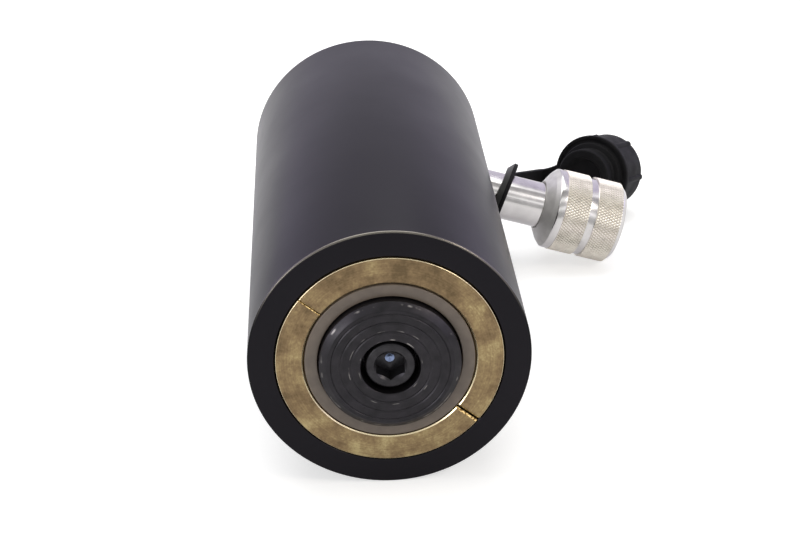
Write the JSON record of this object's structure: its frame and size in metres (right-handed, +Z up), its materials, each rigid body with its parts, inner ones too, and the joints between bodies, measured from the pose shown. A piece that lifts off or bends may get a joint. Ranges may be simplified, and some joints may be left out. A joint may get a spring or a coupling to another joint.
{
  "type": "aluminium hydraulic cylinder",
  "caption": "Single-acting aluminium hydraulic cylinder lying on its side, with a bronze stop ring, a grooved saddle, a knurled coupler and a rubber dust cap on a strap.",
  "frame": {"origin": "centre of the base plate's outer face", "axes": "+Y along the cylinder's axis and out of its base, +Z up with the cylinder lying on its side, +X towards the side with the coupler"},
  "size_m": [0.1825, 0.2548, 0.1],
  "materials": {
    "black_anodised_aluminium": "satin black anodised",
    "hard_anodised_aluminium": "satin grey hard coat",
    "aluminium_bronze": "mottled, machined",
    "blackened_steel": "satin black oxide",
    "plated_steel": "bright zinc and nickel plate",
    "spring_steel": "satin",
    "rubber": "matt",
    "polyurethane": "satin",
    "bearing_composite": "matt"
  },
  "bodies": {
    "cylinder": {"cylinder_body": "black_anodised_aluminium", "base_plate": "blackened_steel", "base_plate_screws": "blackened_steel", "stop_ring_upper_half": "aluminium_bronze", "stop_ring_lower_half": "aluminium_bronze", "stop_ring_lock_wire": "spring_steel", "rod_wiper": "polyurethane", "spring_lower_anchor": "blackened_steel", "return_spring": "spring_steel", "anchor_bolt": "blackened_steel", "anchor_bolt_seal": "plated_steel", "coupler_body": "plated_steel", "coupler_nose": "plated_steel", "coupler_nose_seal": "rubber", "poppet_guide": "plated_steel", "poppet_spring": "spring_steel"},
    "plunger": {"plunger": "hard_anodised_aluminium", "piston_seal": "polyurethane", "seal_backup_ring": "bearing_composite", "piston_bearing_rear": "bearing_composite", "piston_bearing_front": "bearing_composite", "saddle": "blackened_steel", "saddle_screw": "blackened_steel", "spring_upper_anchor": "blackened_steel"},
    "collar": {"coupler_collar": "plated_steel"},
    "poppet": {"coupler_poppet": "plated_steel"},
    "cap_ring": {"cap_strap_ring": "rubber"},
    "cap": {"cap_strap": "rubber", "dust_cap": "rubber"}
  },
  "joints": [
    {"name": "plunger_slide", "type": "slide", "parent": "cylinder", "child": "plunger", "axis": [0, -1, 0], "range_m": [0, 0.075], "stiffness_N_per_m": 4000, "springref_m": -0.02, "deforming": ["return_spring"]},
    {"name": "collar_spin", "type": "hinge", "parent": "cylinder", "child": "collar", "pos_m": [0.09289, -0.0225, -0.02793], "axis": [0.9577, 0, -0.2879], "continuous": true},
    {"name": "poppet_slide", "type": "slide", "parent": "cylinder", "child": "poppet", "axis": [-0.9577, 0, 0.2879], "range_m": [0, 0.003], "stiffness_N_per_m": 600, "springref_m": -0.003, "deforming": ["poppet_spring"]},
    {"name": "cap_swivel", "type": "hinge", "parent": "cylinder", "child": "cap_ring", "pos_m": [0.0589, -0.0225, -0.01771], "axis": [0.9577, 0, -0.2879], "continuous": true},
    {"name": "cap_flex", "type": "hinge", "parent": "cap_ring", "child": "cap", "pos_m": [0.06288, -0.00552, -0.01913], "axis": [0.1329, 0.1898, 0.9728], "range_deg": [-12, 30], "stiffness_Nm_per_rad": 0.002}
  ]
}
